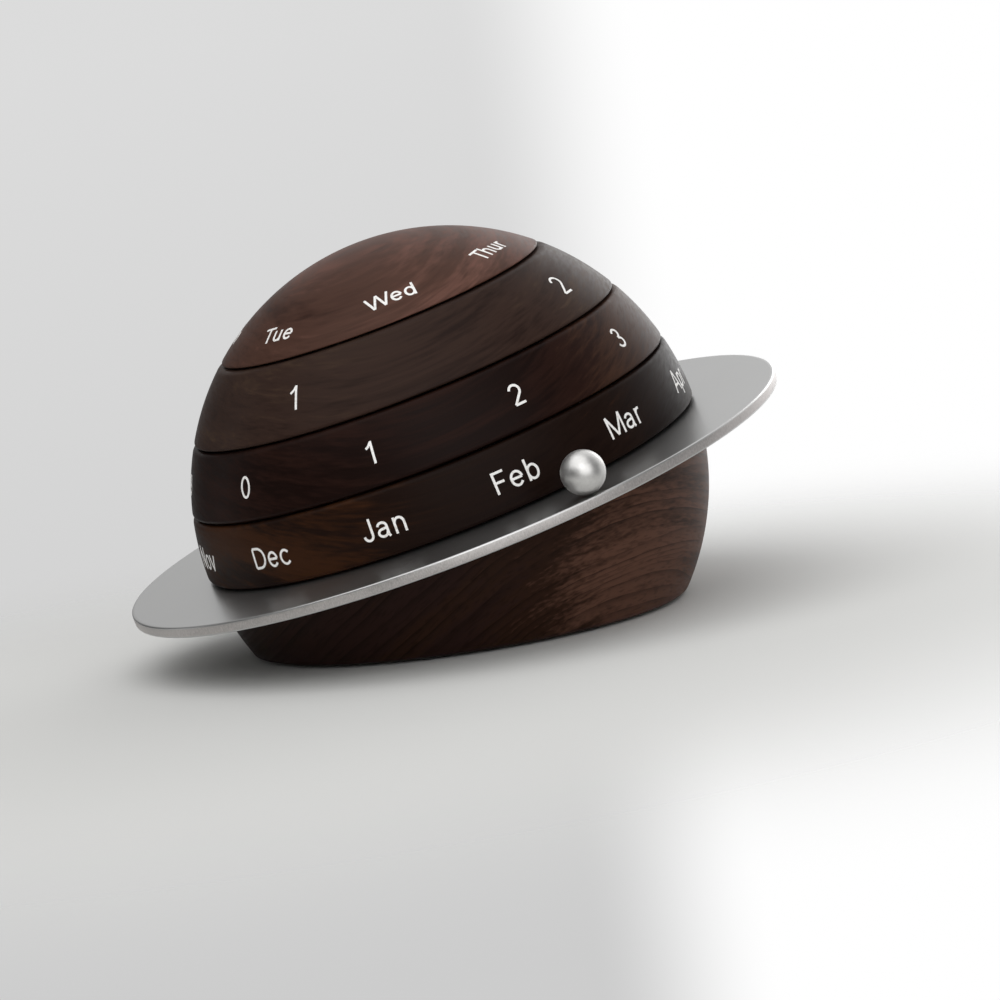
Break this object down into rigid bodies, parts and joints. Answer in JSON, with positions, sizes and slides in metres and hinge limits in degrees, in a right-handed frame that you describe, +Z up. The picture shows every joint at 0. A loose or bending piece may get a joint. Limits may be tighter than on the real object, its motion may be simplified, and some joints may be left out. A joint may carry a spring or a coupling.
{
  "type": "perpetual desk calendar",
  "caption": "Wooden ball of stacked dial rings on a leaning spindle, with a flat steel disc round its middle and a magnetic marker ball on the disc.",
  "frame": {"origin": "on the table under the middle of the ball, at the centre of the felt pad's underside", "axes": "+Z up, front of the calendar faces -Y, the dial axis leans 13 degrees from +Z towards -X"},
  "size_m": [0.1243, 0.1284, 0.0742],
  "materials": {
    "base_walnut": "oiled, satin",
    "month_walnut": "oiled, satin",
    "units_walnut": "oiled, satin",
    "tens_walnut": "oiled, satin",
    "cap_walnut": "oiled, satin",
    "pad_felt": "pressed felt",
    "disc_steel": "bead blasted, brushed rim",
    "marker_steel": "satin plated",
    "spindle_steel": "turned",
    "bearing_steel": "ground",
    "spacer_steel": "turned",
    "spring_steel": "phosphated",
    "screw_steel": "zinc plated"
  },
  "bodies": {
    "root": {"base_body": "base_walnut", "base_pad": "pad_felt", "orbit_disc": "disc_steel", "disc_screws": "screw_steel", "spindle": "spindle_steel", "flange_screws": "screw_steel", "units_spacer": "spacer_steel", "tens_spacer": "spacer_steel", "weekday_spacer": "spacer_steel", "snap_ring": "spring_steel", "month_inner_race": "bearing_steel", "units_inner_race": "bearing_steel", "tens_inner_race": "bearing_steel", "weekday_inner_race": "bearing_steel"},
    "month_dial": {"month_ring": "month_walnut", "month_outer_race": "bearing_steel"},
    "units_dial": {"units_ring": "units_walnut", "units_outer_race": "bearing_steel"},
    "tens_dial": {"tens_ring": "tens_walnut", "tens_outer_race": "bearing_steel"},
    "weekday_dial": {"weekday_cap": "cap_walnut", "weekday_outer_race": "bearing_steel"},
    "marker": {"marker_ball": "marker_steel"}
  },
  "joints": [
    {"name": "month_turn", "type": "hinge", "parent": "root", "child": "month_dial", "pos_m": [0, 0, 0.02624], "axis": [-0.225, 0, 0.9744], "continuous": true},
    {"name": "units_turn", "type": "hinge", "parent": "root", "child": "units_dial", "pos_m": [0, 0, 0.02624], "axis": [-0.225, 0, 0.9744], "continuous": true},
    {"name": "tens_turn", "type": "hinge", "parent": "root", "child": "tens_dial", "pos_m": [0, 0, 0.02624], "axis": [-0.225, 0, 0.9744], "continuous": true},
    {"name": "weekday_turn", "type": "hinge", "parent": "root", "child": "weekday_dial", "pos_m": [0, 0, 0.02624], "axis": [-0.225, 0, 0.9744], "continuous": true},
    {"name": "marker_orbit", "type": "hinge", "parent": "root", "child": "marker", "pos_m": [0, 0, 0.02624], "axis": [-0.225, 0, 0.9744], "continuous": true}
  ]
}
